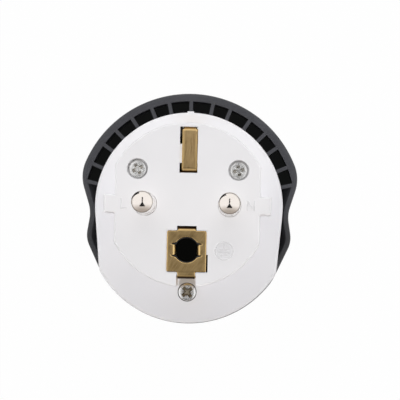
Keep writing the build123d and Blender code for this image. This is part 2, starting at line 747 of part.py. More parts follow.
# Lower earth clip: the same bend, with a wide plate around the earth pin's hole
with BuildPart() as lower_earth_clip:
    leg_line = -lower_clip_start - clip_sheet / 2
    tail_line = -lower_clip_end + clip_sheet / 2
    clip_points = [
        (leg_line + clip_foot, foot_line),
        (leg_line, foot_line),
        (leg_line, face_line),
        (tail_line, face_line),
        (tail_line, tail_end),
    ]
    clip = strip_profile(Plane.YZ, clip_points, clip_sheet, clip_bend)
    extrude(clip, amount=lower_tab_width / 2, both=True)
    with BuildSketch(Plane.XY.offset(clip_level - clip_sheet)):
        with Locations((0, -(earth_plate_top + earth_plate_bottom) / 2)):
            Rectangle(earth_plate_width, earth_plate_bottom - earth_plate_top)
    extrude(amount=clip_sheet)
    with BuildSketch(Plane.XY.offset(clip_level - clip_sheet)):
        with Locations((0, -earth_hole_offset)):
            Circle(earth_hole_diameter / 2)
            Rectangle(lip_gap + 2 * clip_sheet, lip_height + 2 * lip_slit)
    extrude(amount=clip_sheet, mode=Mode.SUBTRACT)

    # Sprung lips folded down on both sides of the hole
    for side in (-1, 1):
        lip_line = side * (lip_gap / 2 + clip_sheet / 2)
        root_line = side * (lip_gap / 2 + clip_sheet + clip_bend)
        lip_points = [(root_line, face_line), (lip_line, face_line), (lip_line, face_line - lip_depth)]
        lip = strip_profile(Plane.XZ.offset(earth_hole_offset), lip_points, clip_sheet, clip_bend / 2)
        extrude(lip, amount=lip_height / 2, both=True)
    with BuildSketch(Plane.XY.offset(earth_base_top)):
        with Locations((0, lower_rivet_place)):
            Circle(rivet_diameter / 2 + seat_gap)
    extrude(amount=clip_sheet, mode=Mode.SUBTRACT)
lower_earth_clip.part.label = "lower_earth_clip"
export_step(lower_earth_clip.part, "parts/lower_earth_clip.step")


# Rivets that join both clips to the earth contact
with BuildPart() as earth_rivets:
    with BuildSketch(Plane.XY.offset(carrier_top)):
        with Locations((0, upper_rivet_place), (0, lower_rivet_place)):
            Circle(rivet_diameter / 2)
    extrude(amount=contact_sheet + clip_sheet)
    upper_head = (earth_base_top + clip_sheet, rivet_head_height)
    lower_head = (carrier_top, -rivet_head_height)
    for head_level, height in (upper_head, lower_head):
        with BuildSketch(Plane.XY.offset(head_level)):
            with Locations((0, upper_rivet_place), (0, lower_rivet_place)):
                Circle(rivet_head_diameter / 2)
        extrude(amount=height)
earth_rivets.part.label = "earth_rivets"
export_step(earth_rivets.part, "parts/earth_rivets.step")


# Cross-recess screws: two from the plug face, one from the chin
screw_sets = (
    ("face_screws", face_screw_places, face_level - face_screw_sink, face_screw_length),
    ("chin_screw", [(0, chin_screw_place)], flange_front - chin_screw_sink, chin_screw_length),
)
for screw_name, places, head_top, length in screw_sets:
    with BuildPart() as screws:
        with BuildSketch(Plane.XY.offset(head_top)):
            with Locations(*places):
                Circle(screw_head_diameter / 2)
        extrude(amount=-screw_head_height)
        with BuildSketch(Plane.XY.offset(head_top - screw_head_height)):
            with Locations(*places):
                Circle(screw_diameter / 2)
        extrude(amount=-length)
        with BuildSketch(Plane.XY.offset(head_top)):
            with Locations(*places):
                Rectangle(screw_recess_length, screw_recess_width)
                Rectangle(screw_recess_width, screw_recess_length)
        extrude(amount=-screw_recess_depth, mode=Mode.SUBTRACT)
    screws.part.label = screw_name
    export_step(screws.part, f"parts/{screw_name}.step")
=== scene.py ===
import math

import bmesh
import bpy
from mathutils import Matrix, Vector


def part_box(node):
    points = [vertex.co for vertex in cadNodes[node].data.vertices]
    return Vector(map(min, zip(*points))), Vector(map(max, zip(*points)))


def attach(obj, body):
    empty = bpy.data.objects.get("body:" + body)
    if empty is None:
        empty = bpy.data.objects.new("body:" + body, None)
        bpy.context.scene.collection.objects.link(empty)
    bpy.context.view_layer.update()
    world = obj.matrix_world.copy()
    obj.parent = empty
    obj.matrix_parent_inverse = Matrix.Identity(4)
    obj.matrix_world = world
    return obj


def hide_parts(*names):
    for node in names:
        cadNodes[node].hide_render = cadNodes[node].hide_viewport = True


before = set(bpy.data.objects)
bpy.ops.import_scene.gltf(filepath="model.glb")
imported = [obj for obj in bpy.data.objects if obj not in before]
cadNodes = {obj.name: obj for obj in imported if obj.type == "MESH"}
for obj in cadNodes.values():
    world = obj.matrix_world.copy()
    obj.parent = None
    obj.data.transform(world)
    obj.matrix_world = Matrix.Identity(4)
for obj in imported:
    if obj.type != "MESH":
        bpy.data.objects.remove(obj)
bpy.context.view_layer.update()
scene = bpy.context.scene
scene.view_settings.view_transform = "Standard"
mm = 0.001
print("frame loaded:", len(cadNodes), "nodes")


# Small helpers for node trees
def addNode(tree, kind, values=None, **settings):
    node = tree.nodes.new(kind)
    node.location = (len(tree.nodes) * 190, 0)
    for name, setting in settings.items():
        setattr(node, name, setting)
    for name, value in (values or {}).items():
        if isinstance(value, bpy.types.NodeSocket):
            tree.links.new(value, node.inputs[name])
        else:
            node.inputs[name].default_value = value
    return node


def newGroup(name, kind, inputs, outputs):
    tree = bpy.data.node_groups.new(name, kind)
    for label, socketKind, value in inputs:
        socket = tree.interface.new_socket(label, in_out="INPUT", socket_type=socketKind)
        if value is not None:
            socket.default_value = value
    for label, socketKind in outputs:
        tree.interface.new_socket(label, in_out="OUTPUT", socket_type=socketKind)
    return tree, addNode(tree, "NodeGroupInput").outputs, addNode(tree, "NodeGroupOutput").inputs


def mathOf(tree, operation, a, b):
    return addNode(tree, "ShaderNodeMath", {0: a, 1: b}, operation=operation).outputs[0]


def rangeOf(tree, value, start, end, low=0.0, high=1.0, kind="LINEAR"):
    spans = {"Value": value, "From Min": start, "From Max": end, "To Min": low, "To Max": high}
    return addNode(tree, "ShaderNodeMapRange", spans, interpolation_type=kind).outputs[0]


# Shared shader groups: the fine skin of a moulding, and the rolling lines of sheet metal
mouldedGrain, groupIn, groupOut = newGroup(
    "mouldedGrain",
    "ShaderNodeTree",
    [
        ("Vector", "NodeSocketVector", None),
        ("Grain Size", "NodeSocketFloat", 0.0002),
        ("Patch Size", "NodeSocketFloat", 0.01),
    ],
    [("Height", "NodeSocketFloat"), ("Patch", "NodeSocketFloat")],
)
for sizeName, outName, detail in (("Grain Size", "Height", 3.0), ("Patch Size", "Patch", 2.0)):
    scale = mathOf(mouldedGrain, "DIVIDE", 1.0, groupIn[sizeName])
    noise = addNode(
        mouldedGrain,
        "ShaderNodeTexNoise",
        {"Vector": groupIn["Vector"], "Scale": scale, "Detail": detail, "Roughness": 0.6},
    )
    mouldedGrain.links.new(noise.outputs[0], groupOut[outName])

sheetStreaks, groupIn, groupOut = newGroup(
    "sheetStreaks",
    "ShaderNodeTree",
    [
        ("Vector", "NodeSocketVector", None),
        ("Turn", "NodeSocketFloat", 0.0),
        ("Streak Width", "NodeSocketFloat", 0.0002),
        ("Streak Length", "NodeSocketFloat", 0.01),
        ("Patch Size", "NodeSocketFloat", 0.004),
    ],
    [("Streak", "NodeSocketFloat"), ("Patch", "NodeSocketFloat")],
)
turned = addNode(
    sheetStreaks,
    "ShaderNodeVectorRotate",
    {"Vector": groupIn["Vector"], "Angle": groupIn["Turn"]},
    rotation_type="Z_AXIS",
)
acrossScale = mathOf(sheetStreaks, "DIVIDE", 1.0, groupIn["Streak Width"])
alongScale = mathOf(sheetStreaks, "DIVIDE", 1.0, groupIn["Streak Length"])
stretch = addNode(sheetStreaks, "ShaderNodeCombineXYZ", {0: acrossScale, 1: alongScale, 2: alongScale})
stretched = addNode(
    sheetStreaks,
    "ShaderNodeVectorMath",
    {0: turned.outputs[0], 1: stretch.outputs[0]},
    operation="MULTIPLY",
)
streak = addNode(
    sheetStreaks,
    "ShaderNodeTexNoise",
    {"Vector": stretched.outputs[0], "Scale": 1.0, "Detail": 4.0, "Roughness": 0.65},
)
patchScale = mathOf(sheetStreaks, "DIVIDE", 1.0, groupIn["Patch Size"])
patch = addNode(
    sheetStreaks,
    "ShaderNodeTexNoise",
    {"Vector": groupIn["Vector"], "Scale": patchScale, "Detail": 2.0},
)
sheetStreaks.links.new(streak.outputs[0], groupOut["Streak"])
sheetStreaks.links.new(patch.outputs[0], groupOut["Patch"])


# Materials
noiseSpan = (0.3, 0.7)  # nearly all values of a noise lie between these
ledgeFacing = (0.1, 0.5)  # how far a surface has to face up to count as a ledge
bendHighlightFacing = (0.99, 0.88)  # how far a bend turns away before its painted highlight is full


def startMaterial(name):
    material = bpy.data.materials.new(name)
    material.use_nodes = True
    tree = material.node_tree
    tree.nodes.clear()
    shader = addNode(tree, "ShaderNodeBsdfPrincipled")
    addNode(tree, "ShaderNodeOutputMaterial", {"Surface": shader.outputs[0]})
    place = addNode(tree, "ShaderNodeTexCoord").outputs["Object"]
    return material, tree, shader, place


def spread(tree, noise, low, high):
    return rangeOf(tree, noise, *noiseSpan, low, high)


def mixColour(tree, factor, a, b):
    return addNode(tree, "ShaderNodeMix", {0: factor, 6: a, 7: b}, data_type="RGBA").outputs[2]


def mouldedPlastic(name, look):
    material, tree, shader, place = startMaterial(name)
    sizes = {"Vector": place, "Grain Size": look["grainSize"], "Patch Size": look["patchSize"]}
    skin = addNode(tree, "ShaderNodeGroup", sizes, node_tree=mouldedGrain).outputs
    tone = mixColour(tree, spread(tree, skin["Patch"], 0.0, 1.0), look["tone"], look["patchTone"])
    shader.inputs["Specular IOR Level"].default_value = look["specular"]
    spot = addNode(tree, "ShaderNodeSeparateXYZ", {0: place}).outputs
    if "paintedSideShade" in look:
        # Painted shade: the grip is painted darker from its crown towards its lower side
        tone = mixColour(tree, rangeOf(tree, spot[1], *look["paintedSideShadeSpan"]), tone, look["paintedSideShade"])
    if "paintedDeepShade" in look:
        # Painted shade: ledges and floors are painted darker and less glossy the deeper they lie
        facing = addNode(tree, "ShaderNodeNewGeometry").outputs["Normal"]
        level = addNode(tree, "ShaderNodeSeparateXYZ", {0: facing}).outputs[2]
        upward = rangeOf(tree, level, *ledgeFacing)
        deep = mathOf(tree, "MULTIPLY", upward, rangeOf(tree, spot[2], *look["paintedDeepShadeLevels"]))
        tone = mixColour(tree, deep, tone, look["paintedDeepShade"])
        gloss = {0: deep, 2: look["specular"], 3: look["paintedDeepShadeSpecular"]}
        shadedSpecular = addNode(tree, "ShaderNodeMix", gloss, data_type="FLOAT").outputs[0]
        tree.links.new(shadedSpecular, shader.inputs["Specular IOR Level"])
    if "paintedShades" in look:
        # Painted shade: places that lie low, or beside and under the brass, are painted greyer
        flat = addNode(tree, "ShaderNodeCombineXYZ", {0: spot[0], 1: spot[1]}).outputs[0]
        for middle, reach, levels, shadeTone in look["paintedShades"].values():
            gap = addNode(tree, "ShaderNodeVectorMath", {0: flat, 1: middle}, operation="DISTANCE")
            near = rangeOf(tree, gap.outputs["Value"], *reach)
            shaded = mathOf(tree, "MULTIPLY", near, rangeOf(tree, spot[2], *levels))
            tone = mixColour(tree, shaded, tone, shadeTone)
    tree.links.new(tone, shader.inputs["Base Color"])
    tree.links.new(spread(tree, skin["Height"], *look["rough"]), shader.inputs["Roughness"])
    relief = {"Strength": look["bump"], "Distance": look["grainDepth"], "Height": skin["Height"]}
    bump = addNode(tree, "ShaderNodeBump", relief)
    tree.links.new(bump.outputs[0], shader.inputs["Normal"])
    return material


def workedMetal(name, look):
    material, tree, shader, place = startMaterial(name)
    sizes = {
        "Vector": place,
        "Turn": math.radians(look["turn"]),
        "Streak Width": look["streakWidth"],
        "Streak Length": look["streakLength"],
        "Patch Size": look["patchSize"],
    }
    skin = addNode(tree, "ShaderNodeGroup", sizes, node_tree=sheetStreaks).outputs
    tone = mixColour(tree, spread(tree, skin["Patch"], 0.0, 1.0), look["tone"], look["patchTone"])
    tone = mixColour(tree, spread(tree, skin["Streak"], 0.0, look["lines"]), tone, look["lineTone"])
    spot = addNode(tree, "ShaderNodeSeparateXYZ", {0: place}).outputs
    facing = addNode(tree, "ShaderNodeNewGeometry").outputs["Normal"]
    slopes = addNode(tree, "ShaderNodeSeparateXYZ", {0: facing}).outputs
    if "paintedEdgeHighlight" in look:
        # Painted highlight along the long edges of the strip
        aside = mathOf(tree, "ABSOLUTE", mathOf(tree, "SUBTRACT", spot[0], look["middle"]), 0)
        tone = mixColour(tree, rangeOf(tree, aside, *look["paintedEdgeHighlightReach"]), tone, look["paintedEdgeHighlight"])
    if "paintedBendHighlight" in look:
        # Painted highlight: bends are painted bright where they turn away from the flat side
        tone = mixColour(tree, rangeOf(tree, slopes[2], *bendHighlightFacing), tone, look["paintedBendHighlight"])
    for axis, start, end, bendTone in look.get("bends", ()):
        # Painted shade: steep places are painted dark: bends that go down into the face, and the sides of a
        # screw
        near = rangeOf(tree, spot[2], *look["bendLevels"])
        steep = mathOf(tree, "MULTIPLY", near, rangeOf(tree, slopes[axis], start, end))
        tone = mixColour(tree, steep, tone, bendTone)
    tree.links.new(tone, shader.inputs["Base Color"])
    tree.links.new(spread(tree, skin["Streak"], *look["rough"]), shader.inputs["Roughness"])
    shader.inputs["Metallic"].default_value = 1.0
    relief = {"Strength": look["bump"], "Distance": look["lineDepth"], "Height": skin["Streak"]}
    bump = addNode(tree, "ShaderNodeBump", relief)
    tree.links.new(bump.outputs[0], shader.inputs["Normal"])
    return material


whiteLook = {
    "tone": (0.845, 0.838, 0.855, 1),
    "patchTone": (0.82, 0.815, 0.83, 1),
    "grainSize": 0.25 * mm,
    "patchSize": 9 * mm,
    "rough": (0.4, 0.5),
    "specular": 0.35,
    "bump": 0.25,
    "grainDepth": 0.01 * mm,
    # Middle of each painted shade, distances where it starts and is full, heights likewise, and its tone
    "paintedShades": {
        "flangeLow": (
            (1.5 * mm, -20 * mm, 0),
            (27 * mm, 15 * mm),
            (36 * mm, 34 * mm),
            (0.768, 0.764, 0.786, 1),
        ),
        "flangeRight": (
            (24 * mm, -2 * mm, 0),
            (14 * mm, 5 * mm),
            (36 * mm, 34 * mm),
            (0.755, 0.752, 0.775, 1),
        ),
        "flangeLeft": (
            (-24 * mm, -2 * mm, 0),
            (14 * mm, 5 * mm),
            (36 * mm, 34 * mm),
            (0.79, 0.786, 0.81, 1),
        ),
        "tailGroove": (
            (0, -17.9 * mm, 0),
            (2.2 * mm, 1.7 * mm),
            (60 * mm, 50 * mm),
            (0.41, 0.39, 0.375, 1),
        ),
        "stripWindow": (
            (-1.85 * mm, 16.5 * mm, 0),
            (1.5 * mm, 1.2 * mm),
            (50.2 * mm, 49.8 * mm),
            (0.03, 0.026, 0.022, 1),
        ),
        "chinScrewGap": (
            (0, -19.94 * mm, 0),
            (2.45 * mm, 2.3 * mm),
            (33.0 * mm, 32.85 * mm),
            (0.03, 0.028, 0.026, 1),
        ),
    },
}
darkLook = {
    "tone": (0.045, 0.046, 0.052, 1),
    "patchTone": (0.053, 0.054, 0.061, 1),
    "grainSize": 0.22 * mm,
    "patchSize": 6 * mm,
    "rough": (0.48, 0.62),
    "specular": 0.45,
    "bump": 0.5,
    "grainDepth": 0.02 * mm,
    # Painted shade: darker towards the grip's lower side
    "paintedSideShade": (0.027, 0.0275, 0.03, 1),
    "paintedSideShadeSpan": (6 * mm, -8 * mm),
    # Painted shade: the floors of the pockets are painted nearly black
    "paintedDeepShade": (0.009, 0.0095, 0.0092, 1),
    "paintedDeepShadeSpecular": 0.1,
    "paintedDeepShadeLevels": (28.3 * mm, 23 * mm),
}
innerLook = {
    "tone": (0.03, 0.03, 0.032, 1),
    "patchTone": (0.038, 0.037, 0.038, 1),
    "grainSize": 0.3 * mm,
    "patchSize": 7 * mm,
    "rough": (0.5, 0.6),
    "specular": 0.35,
    "bump": 0.3,
    "grainDepth": 0.02 * mm,
    # Painted shade: the floor of the well is painted nearly black
    "paintedDeepShade": (0.004, 0.004, 0.0034, 1),
    "paintedDeepShadeSpecular": 0.03,
    "paintedDeepShadeLevels": (48 * mm, 44 * mm),
}
nickelLook = {
    "tone": (0.93, 0.87, 0.81, 1),
    "patchTone": (0.9, 0.84, 0.78, 1),
    "lineTone": (0.8, 0.75, 0.7, 1),
    "lines": 0.25,
    "turn": 0,
    "streakWidth": 4 * mm,
    "streakLength": 0.12 * mm,
    "patchSize": 2.5 * mm,
    "rough": (0.09, 0.14),
    "bump": 0.06,
    "lineDepth": 0.004 * mm,
}
stripLook = {
    "tone": (0.42, 0.28, 0.125, 1),
    "patchTone": (0.32, 0.21, 0.09, 1),
    "lineTone": (0.6, 0.43, 0.22, 1),
    "lines": 0.8,
    "turn": 4,
    "streakWidth": 0.22 * mm,
    "streakLength": 3 * mm,
    "patchSize": 1.6 * mm,
    "rough": (0.26, 0.4),
    "bump": 0.25,
    "lineDepth": 0.008 * mm,
    "middle": 0.3 * mm,
    # Painted highlight along the long edges of the strip
    "paintedEdgeHighlightReach": (1.15 * mm, 1.5 * mm),
    "paintedEdgeHighlight": (0.8, 0.56, 0.25, 1),
    # Painted highlight on the bends
    "paintedBendHighlight": (0.98, 0.72, 0.34, 1),
    # Axis of the normal, its values where the painted shade starts and is full, and the tone
    "bends": [(1, -0.6, -0.85, (0.25, 0.13, 0.04, 1))],
    "bendLevels": (49.1 * mm, 49.3 * mm),
}
plateLook = {
    "tone": (0.335, 0.222, 0.092, 1),
    "patchTone": (0.235, 0.155, 0.062, 1),
    "lineTone": (0.52, 0.38, 0.19, 1),
    "lines": 0.7,
    "turn": 32,
    "streakWidth": 0.16 * mm,
    "streakLength": 2 * mm,
    "patchSize": 1.8 * mm,
    "rough": (0.28, 0.42),
    "bump": 0.3,
    "lineDepth": 0.008 * mm,
    # Painted highlight on the bends
    "paintedBendHighlight": (0.95, 0.68, 0.3, 1),
    # Painted shade on the steep parts of the bends: brown where the top tab goes down, nearly black where
    # the tail goes down
    "bends": [
        (1, 0.42, 0.66, (0.2, 0.11, 0.05, 1)),
        (1, -0.3, -0.6, (0.03, 0.015, 0.006, 1)),
    ],
    "bendLevels": (49.1 * mm, 49.3 * mm),
}
# Painted highlight: the cut rim of the brass is a brighter copy of the plate's brass, standing in for the
# light its edges catch
rimHighlightLook = dict(
    plateLook,
    tone=(0.74, 0.53, 0.25, 1),
    patchTone=(0.6, 0.41, 0.18, 1),
    rough=(0.2, 0.3),
)
contactLook = dict(plateLook, tone=(0.6, 0.43, 0.2, 1), patchTone=(0.52, 0.37, 0.17, 1), turn=90)
zincLook = {
    "tone": (0.93, 0.93, 0.92, 1),
    "patchTone": (0.82, 0.82, 0.8, 1),
    "lineTone": (0.85, 0.85, 0.85, 1),
    "lines": 0.5,
    "turn": 20,
    "streakWidth": 0.2 * mm,
    "streakLength": 1.2 * mm,
    "patchSize": 0.9 * mm,
    "rough": (0.18, 0.3),
    "bump": 0.15,
    "lineDepth": 0.006 * mm,
    # Painted shade: the steep rim and sides of a screw head are painted nearly black
    "bends": [(2, 0.92, 0.8, (0.06, 0.06, 0.055, 1))],
    "bendLevels": (0, 1 * mm),
}
# Painted highlight and shade: the recess is a brighter copy of the zinc, with its steep walls painted grey
zincRecessLook = dict(
    zincLook,
    tone=(0.98, 0.98, 0.97, 1),
    patchTone=(0.9, 0.9, 0.88, 1),
    rough=(0.14, 0.24),
    bends=[(2, 0.92, 0.8, (0.58, 0.56, 0.52, 1))],
)
# The chin screw's recess is darker and browner than the head. Painted shade: its steep walls are painted
# darker still
brownRecessLook = dict(
    zincLook,
    tone=(0.42, 0.37, 0.27, 1),
    patchTone=(0.3, 0.26, 0.19, 1),
    lines=0.2,
    rough=(0.4, 0.55),
    bends=[(2, 0.92, 0.8, (0.3, 0.26, 0.19, 1))],
)
# Painted shade: the marks are the face's plastic painted darker, standing in for the shade along their
# raised strokes
shadedMarkLook = dict(whiteLook, tone=(0.73, 0.725, 0.74, 1), patchTone=(0.71, 0.705, 0.72, 1))
whitePlastic = mouldedPlastic("whitePlastic", whiteLook)
shadedMarkPlastic = mouldedPlastic("shadedMarkPlastic", shadedMarkLook)
darkPlastic = mouldedPlastic("darkPlastic", darkLook)
innerPlastic = mouldedPlastic("innerPlastic", innerLook)
nickel = workedMetal("nickelPlate", nickelLook)
stripBrass = workedMetal("stripBrass", stripLook)
rimHighlightBrass = workedMetal("rimHighlightBrass", rimHighlightLook)
plateBrass = workedMetal("plateBrass", plateLook)
contactBrass = workedMetal("contactBrass", contactLook)
zinc = workedMetal("zincPlate", zincLook)
zincRecess = workedMetal("zincRecess", zincRecessLook)
brownRecess = workedMetal("brownRecess", brownRecessLook)

nodeMaterials = {
    "plug_housing": whitePlastic,
    "socket_cover": whitePlastic,
    "grip_sleeve": darkPlastic,
    "contact_carrier": innerPlastic,
    "pin_carrier": innerPlastic,
    "pin_washers": zinc,
    "live_contact": contactBrass,
    "neutral_contact": contactBrass,
    "earth_contact": contactBrass,
    "earth_rivets": contactBrass,
}
for nodeName, material in nodeMaterials.items():
    cadNodes[nodeName].material_slots[0].material = material
print("materials:", len(nodeMaterials), "CAD nodes painted")


# Pieces
sharpAngle = 38  # edges that turn further than this stay sharp
weldGap = 0.001  # points nearer than this, in mm, become one
cutGap = 0.0001  # a point this near a fold line counts as on it
flatFacing = 0.99  # a face of the blank that is less level than this is its rim


def addPiece(name, mesh, materials, slotName, *replaced):
    mesh.name = name
    for material in materials:
        mesh.materials.append(material)
    piece = bpy.data.objects.new(name, mesh)
    scene.collection.objects.link(piece)
    for polygon in mesh.polygons:
        polygon.use_smooth = True
    mesh.set_sharp_from_angle(angle=math.radians(sharpAngle))
    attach(piece, "root")
    if replaced:
        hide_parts(*replaced)


def arcPoints(centre, radius, start, end, steps):
    points = []
    for step in range(steps + 1):
        angle = math.radians(start + (end - start) * step / steps)
        points.append((centre[0] + radius * math.cos(angle), centre[1] + radius * math.sin(angle)))
    return points


def roundedLoop(corners, radius, steps=4):
    # Straight-sided outline with every corner rounded on a tangent arc
    points = []
    for index, corner in enumerate(corners):
        here = Vector(corner)
        before = Vector(corners[index - 1]) - here
        after = Vector(corners[(index + 1) % len(corners)]) - here
        half = before.angle(after) / 2
        reach = radius / math.tan(half)
        start = here + before.normalized() * reach
        end = here + after.normalized() * reach
        middle = here + (before.normalized() + after.normalized()).normalized() * radius / math.sin(half)
        for step in range(steps + 1):
            point = start.lerp(end, step / steps) - middle
            points.append(tuple(middle + point.normalized() * radius))
    return points


def cutBlank(name, outlines, thickness, edge):
    # Flat blank with rounded edges, centred on z = 0
    curve = bpy.data.curves.new(name, "CURVE")
    curve.dimensions = "2D"
    curve.fill_mode = "BOTH"
    curve.extrude = (thickness / 2 - edge) * mm
    curve.bevel_depth = edge * mm
    curve.bevel_resolution = 2
    curve.offset = -edge * mm
    for outline in outlines:
        spline = curve.splines.new("POLY")
        spline.points.add(len(outline) - 1)
        for point, (x, y) in zip(spline.points, outline):
            point.co = (x * mm, y * mm, 0, 1)
        spline.use_cyclic_u = True
    holder = bpy.data.objects.new(name, curve)
    mesh = bpy.data.meshes.new_from_object(holder)
    bpy.data.objects.remove(holder)
    sheet = bmesh.new()
    sheet.from_mesh(mesh)
    bmesh.ops.remove_doubles(sheet, verts=sheet.verts, dist=weldGap * mm)
    sheet.normal_update()
    for face in sheet.faces:
        # The cut rim takes the second material
        face.material_index = 0 if abs(face.normal.z) > flatFacing else 1
    return sheet


def foldSheet(sheet, line, heading, radius, down=True, belongs=None, angle=90, steps=8):
    # Everything past the line, in the heading's direction, bends round the radius and then runs straight
    origin = Vector(line) * mm
    heading = Vector(heading)
    up = Vector((0, 0, 1 if down else -1))
    bend = radius * mm
    sweep = math.radians(angle)
    length = bend * sweep
    for step in range(steps + 1):
        bmesh.ops.bisect_plane(
            sheet,
            geom=sheet.verts[:] + sheet.edges[:] + sheet.faces[:],
            dist=cutGap * mm,
            plane_co=origin + heading * length * step / steps,
            plane_no=heading,
        )
    for vertex in sheet.verts:
        offset = vertex.co - origin
        along = offset.dot(heading)
        if along <= 0 or (belongs and not belongs(vertex.co / mm)):
            continue
        height = offset.dot(up)
        sideways = offset - heading * along - up * height
        turn = min(along / bend, sweep)
        straight = max(along - length, 0)
        reach = (bend + height) * math.sin(turn) + straight * math.cos(turn)
        drop = (bend + height) * math.cos(turn) - bend - straight * math.sin(turn)
        vertex.co = origin + sideways + heading * reach + up * drop


def finishSheet(sheet, level):
    bmesh.ops.translate(sheet, verts=sheet.verts, vec=(0, 0, level * mm))
    bmesh.ops.recalc_face_normals(sheet, faces=sheet.faces)
    mesh = bpy.data.meshes.new("sheet")
    sheet.to_mesh(mesh)
    sheet.free()
    return mesh


# Pins: turned rods, plated
pin = {
    "diameter": 4.8,
    "shoulder": 5.2,
    "shoulderTop": 50.5,
    "shoulderEdge": 0.12,
    "ringTop": 50.6,
    "domeRadius": 3.35,
    "tipEdge": 0.1,
    "collar": 7.0,
    "collarTop": 48.3,
    "collarLow": 46.3,
    "shank": 4.0,
    "shankLow": 43.3,
    "tail": 3.0,
    "tailLow": 41.9,
    "tailHead": 4.4,
    "edge": 0.15,
    "edgeSteps": 3,
    "tipSteps": 10,
    "domeSteps": 24,
    "segments": 96,
    "ringFacing": 0.95,
}


def pinMesh(node):
    low, high = (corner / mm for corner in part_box(node))
    middle = (low + high) / 2
    radius = pin["diameter"] / 2
    edge = pin["edge"]
    steps = pin["edgeSteps"]
    collar = pin["collar"] / 2
    head = pin["tailHead"] / 2
    shoulder = pin["shoulder"] / 2
    shoulderEdge = pin["shoulderEdge"]
    shoulderTop = pin["shoulderTop"]
    profile = [(0, low.z)]
    profile += arcPoints((head - edge, low.z + edge), edge, -90, 0, steps)
    profile += arcPoints((head - edge, pin["tailLow"] - edge), edge, 0, 90, steps)
    profile += [(pin["tail"] / 2, pin["tailLow"]), (pin["tail"] / 2, pin["shankLow"])]
    profile += [(pin["shank"] / 2, pin["shankLow"]), (pin["shank"] / 2, pin["collarLow"])]
    profile += arcPoints((collar - edge, pin["collarLow"] + edge), edge, -90, 0, steps)
    profile += arcPoints((collar - edge, pin["collarTop"] - edge), edge, 0, 90, steps)
    profile += [(shoulder, pin["collarTop"])]
    profile += arcPoints((shoulder - shoulderEdge, shoulderTop - shoulderEdge), shoulderEdge, 0, 90, steps)
    profile += [(radius, shoulderTop)]
    dome = pin["domeRadius"]
    tipEdge = pin["tipEdge"]
    edgeX = radius - tipEdge
    edgeZ = math.sqrt((dome - tipEdge) ** 2 - edgeX**2)
    meet = math.degrees(math.atan2(edgeZ, edgeX))
    profile += arcPoints((edgeX, high.z - dome + edgeZ), tipEdge, 0, meet, pin["tipSteps"])
    profile += arcPoints((0, high.z - dome), dome, meet, 90, pin["domeSteps"])[1:-1] + [(0, high.z)]
    turned = bmesh.new()
    rows = [turned.verts.new((x * mm, 0, z * mm)) for x, z in profile]
    edges = [turned.edges.new(pair) for pair in zip(rows, rows[1:])]
    bmesh.ops.spin(
        turned,
        geom=rows + edges,
        cent=(0, 0, 0),
        axis=(0, 0, 1),
        angle=2 * math.pi,
        steps=pin["segments"],
        use_merge=True,
    )
    bmesh.ops.remove_doubles(turned, verts=turned.verts, dist=weldGap * mm)
    bmesh.ops.translate(turned, verts=turned.verts, vec=(middle.x * mm, middle.y * mm, 0))
    bmesh.ops.recalc_face_normals(turned, faces=turned.faces)
    for face in turned.faces:
        # The face's plastic runs up to the pin over the shoulder
        onRing = face.calc_center_median().z < pin["ringTop"] * mm
        face.material_index = int(onRing and face.normal.z > pin["ringFacing"])
    mesh = bpy.data.meshes.new(node)
    turned.to_mesh(mesh)
    turned.free()
    return mesh


for pieceName, node in (("livePin", "live_pin"), ("neutralPin", "neutral_pin")):
    addPiece(pieceName, pinMesh(node), [nickel, whitePlastic], "nickel", node)
print("pins turned")


# Earth clips: blanks cut flat, then folded where the sheet turns
clip = {
    "sheet": 0.7,
    "edge": 0.2,
    "bend": 0.75,
    "faceLevel": 50.4,
    "footLevel": 27.6,
    "tailLow": 31.55,
    "foot": 4.6,
    "rivetHole": 1.05,
    "rivetSteps": 32,
}
upperStrip = {
    "middle": 0.3,
    "width": 3.5,
    "leg": 7.35,
    "tail": 17.5,
    "tailWidth": 3.1,
    "shoulder": 16.95,
    "corner": 0.0875,
}
lowerPlate = {
    "tab": 4.0,
    "leg": -5.0,
    "tail": -16.7,
    "width": 8.9,
    "top": -5.9,
    "bottom": -15.2,
    "corner": 0.35,
    "hole": 2.85,
    "holeSteps": 20,
    "holePlace": -10.2,
    "lipFold": 3.28,
    "lipBend": 0.45,
    "lipDrop": 1.1,
    "lipHeight": 2.5,
    "lipLean": 84,
    "slit": 0.4,
    "slitEnd": 0.06,
    "slitPast": 0.1,
}
halfSheet = clip["sheet"] / 2
bendRun = clip["bend"] * math.pi / 2
faceLine = clip["faceLevel"] - halfSheet
legRun = faceLine - clip["footLevel"] - halfSheet - 2 * clip["bend"]
tailRun = faceLine - clip["bend"] - clip["tailLow"]
footRun = clip["foot"] - clip["bend"]


def clipMesh(name, outlines, legLine, tailLine, footDown):
    # legLine and tailLine are the middles of the standing legs; outlines are the flat blank
    inward = 1 if tailLine > legLine else -1
    sheet = cutBlank(name, outlines, clip["sheet"], clip["edge"])
    legFold = legLine + inward * clip["bend"]
    tailFold = tailLine - inward * clip["bend"]
    footFold = legFold - inward * (bendRun + legRun)
    foldSheet(sheet, (0, footFold, 0), (0, -inward, 0), clip["bend"], down=footDown)
    foldSheet(sheet, (0, legFold, 0), (0, -inward, 0), clip["bend"])
    foldSheet(sheet, (0, tailFold, 0), (0, inward, 0), clip["bend"])
    return sheet


def blankEnds(legLine, tailLine):
    inward = 1 if tailLine > legLine else -1
    legEnd = legLine + inward * clip["bend"] - inward * (2 * bendRun + legRun + footRun)
    tailEnd = tailLine - inward * clip["bend"] + inward * (bendRun + tailRun)
    rivet = legEnd + inward * clip["foot"] / 2
    return legEnd, tailEnd, rivet


def rivetHole(rivet):
    return arcPoints((0, rivet), clip["rivetHole"], 360, 0, clip["rivetSteps"])[:-1]


